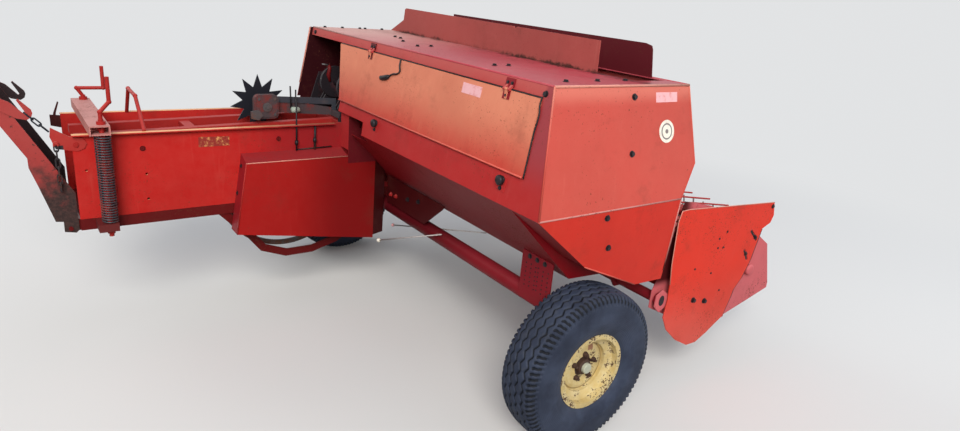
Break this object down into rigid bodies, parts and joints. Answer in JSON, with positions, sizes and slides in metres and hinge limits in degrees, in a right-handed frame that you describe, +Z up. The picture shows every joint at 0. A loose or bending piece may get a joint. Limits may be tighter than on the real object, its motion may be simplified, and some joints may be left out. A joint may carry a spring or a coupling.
{
  "type": "small square baler",
  "caption": "Trailed square baler with side pickup, feeder hood, bale chamber with density springs and folding chute, on two wheels and a jack.",
  "frame": {"origin": "centre of the footprint at ground level, under the middle of the parked machine", "axes": "+X forward along travel, +Y to the machine's left, +Z up"},
  "size_m": [4.8756, 2.64, 1.663],
  "materials": {
    "red_paint": "sun-faded red paint with rust specks",
    "faded_paint": "chalky faded red paint",
    "orange_paint": "orange-red paint, lightly faded",
    "worn_paint": "dark red paint over rust",
    "yellow_paint": "dull yellow paint with rust specks",
    "hub_paint": "light grey paint",
    "tyre": "ribbed implement tyre",
    "bare_steel": "dull worn steel",
    "dark_steel": "dark, slightly rusty steel",
    "spring_steel": "dark spring steel",
    "cast_iron": "cast iron with old red paint"
  },
  "bodies": {
    "root": {"chamber_wall_right": "red_paint", "chamber_wall_left": "red_paint", "chamber_floor": "worn_paint", "chamber_roof": "red_paint", "tension_rails": "red_paint", "density_beams": "red_paint", "density_springs": "spring_steel", "density_cranks": "red_paint", "grab_hoop": "red_paint", "wall_ears": "red_paint", "needle_guard": "worn_paint", "needle_yoke": "bare_steel", "drive_guard": "red_paint", "neck_guard": "red_paint", "knotters": "bare_steel", "hood_top": "faded_paint", "hood_rear": "faded_paint", "hood_front": "faded_paint", "hood_end_panel": "red_paint", "hood_far_plate": "faded_paint", "hood_guards": "faded_paint", "side_skirt": "red_paint", "feed_trough": "worn_paint", "feeder_carriage": "bare_steel", "axle": "worn_paint", "gearbox": "cast_iron", "plunger": "bare_steel", "drawbar_bracket": "red_paint", "star_bracket": "bare_steel", "pickup_hanger": "red_paint"},
    "feeder_door": {"feeder_door": "faded_paint"},
    "wheel_right": {"tyre_right": "tyre", "rim_right": "yellow_paint", "hub_right": "hub_paint"},
    "wheel_left": {"tyre_left": "tyre", "rim_left": "yellow_paint", "hub_left": "hub_paint"},
    "pickup": {"pickup_side_plate": "orange_paint", "pickup_inner_plate": "red_paint", "pickup_left_plate": "orange_paint", "pickup_frame": "red_paint", "pickup_bands": "red_paint"},
    "reel": {"tine_reel": "bare_steel"},
    "wind_guard": {"wind_guard": "orange_paint"},
    "chute": {"bale_chute": "worn_paint", "chute_chain": "dark_steel"},
    "star_wheel": {"star_wheel": "dark_steel"},
    "flywheel": {"flywheel": "cast_iron"},
    "drawbar": {"drawbar_pivot": "red_paint", "drawbar": "red_paint", "jack_tube": "red_paint"},
    "jack": {"jack_leg": "bare_steel"}
  },
  "joints": [
    {"name": "door_hinge", "type": "hinge", "parent": "root", "child": "feeder_door", "pos_m": [-0.65383, -0.3275, 1.466], "axis": [0, 1, 0], "range_deg": [0, 85]},
    {"name": "wheel_right_spin", "type": "hinge", "parent": "root", "child": "wheel_right", "pos_m": [-0.37014, -1.2125, 0.355], "axis": [0, 1, 0], "continuous": true},
    {"name": "wheel_left_spin", "type": "hinge", "parent": "root", "child": "wheel_left", "pos_m": [-0.37014, 1.2125, 0.355], "axis": [0, 1, 0], "continuous": true},
    {"name": "pickup_lift", "type": "hinge", "parent": "root", "child": "pickup", "pos_m": [0.19186, -0.4075, 0.502], "axis": [0, 1, 0], "range_deg": [-10, 6]},
    {"name": "reel_spin", "type": "hinge", "parent": "pickup", "child": "reel", "pos_m": [0.92986, -0.4075, 0.52], "axis": [0, 1, 0], "continuous": true},
    {"name": "wind_guard_lift", "type": "hinge", "parent": "pickup", "child": "wind_guard", "pos_m": [0.38986, -0.4075, 0.88], "axis": [0, 1, 0], "range_deg": [-35, 0]},
    {"name": "chute_fold", "type": "hinge", "parent": "root", "child": "chute", "pos_m": [-2.03114, 0.7425, 0.6], "axis": [0, 1, 0], "range_deg": [-61.5, 0]},
    {"name": "star_wheel_spin", "type": "hinge", "parent": "root", "child": "star_wheel", "pos_m": [-1.07514, 0.7425, 1.125], "axis": [0, 1, 0], "continuous": true},
    {"name": "flywheel_spin", "type": "hinge", "parent": "root", "child": "flywheel", "pos_m": [1.10986, 0.7425, 0.8], "axis": [1, 0, 0], "continuous": true},
    {"name": "drawbar_swing", "type": "hinge", "parent": "root", "child": "drawbar", "pos_m": [0.78986, 0.6825, 0.45], "axis": [0, 0, 1], "range_deg": [-12, 12]},
    {"name": "jack_slide", "type": "slide", "parent": "drawbar", "child": "jack", "axis": [0, 0, 1], "range_m": [0, 0.2]}
  ]
}
